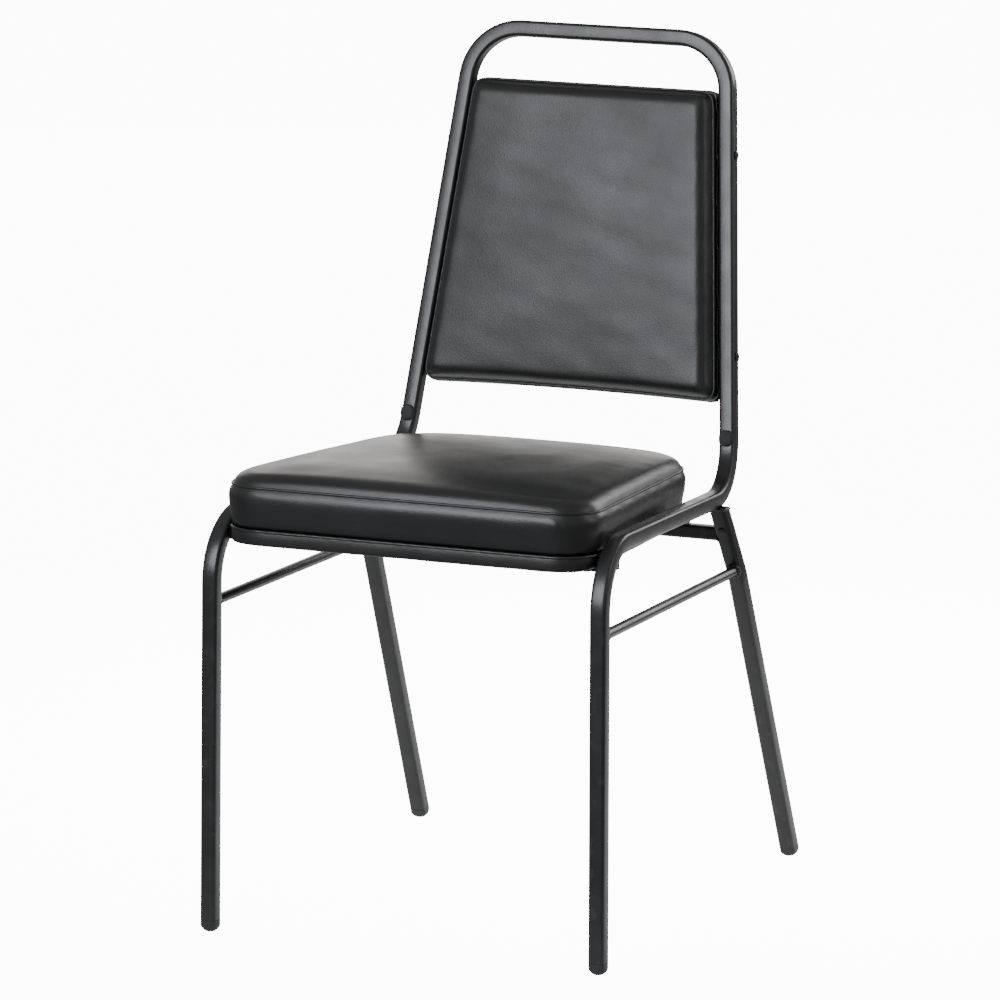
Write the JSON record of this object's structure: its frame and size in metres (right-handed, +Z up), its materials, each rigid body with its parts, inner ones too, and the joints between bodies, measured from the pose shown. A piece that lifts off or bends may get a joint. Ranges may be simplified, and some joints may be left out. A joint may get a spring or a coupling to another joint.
{
  "type": "stacking chair",
  "caption": "Armless stacking chair with a bent square-tube frame, padded vinyl seat and tapered padded back below a top rail that serves as a hand grip.",
  "frame": {"origin": "on the floor plane, under the middle of the chair's bounding box", "axes": "+Z up, the sitter faces -Y, +X to the right of a viewer who faces the chair's front"},
  "size_m": [0.448, 0.5469, 0.8814],
  "materials": {
    "frame": "dark grey-black powder coat, satin",
    "vinyl": "black vinyl leathercloth, semi-gloss, fine grain",
    "glide": "black moulded nylon",
    "bumper": "black rubber, matte",
    "screw": "black zinc plated steel",
    "board": "raw plywood",
    "foam": "polyurethane foam",
    "dust_cover": "black non-woven cloth"
  },
  "bodies": {
    "root": {"main_frame": "frame", "rear_leg_right": "frame", "rear_leg_left": "frame", "rear_cross_bar": "frame", "side_stretcher_right": "frame", "side_stretcher_left": "frame", "front_glide_right": "glide", "front_glide_left": "glide", "rear_glide_right": "glide", "rear_glide_left": "glide", "stack_bumper_right": "bumper", "stack_bumper_left": "bumper", "leg_plug_right": "bumper", "leg_plug_left": "bumper", "seat_bracket_front_right": "frame", "seat_bracket_front_left": "frame", "seat_bracket_rear_right": "frame", "seat_bracket_rear_left": "frame", "seat_screw_front_right": "screw", "seat_screw_front_left": "screw", "seat_screw_rear_right": "screw", "seat_screw_rear_left": "screw", "seat_board": "board", "seat_foam": "foam", "seat_cover": "vinyl", "seat_welt_upper": "vinyl", "seat_welt_lower": "vinyl", "seat_dust_cover": "dust_cover", "back_board": "board", "back_foam": "foam", "back_cover": "vinyl", "back_rear_cover": "vinyl", "back_welt": "vinyl", "back_screw_lower_right": "screw", "back_screw_lower_left": "screw", "back_screw_upper_right": "screw", "back_screw_upper_left": "screw"}
  },
  "joints": []
}
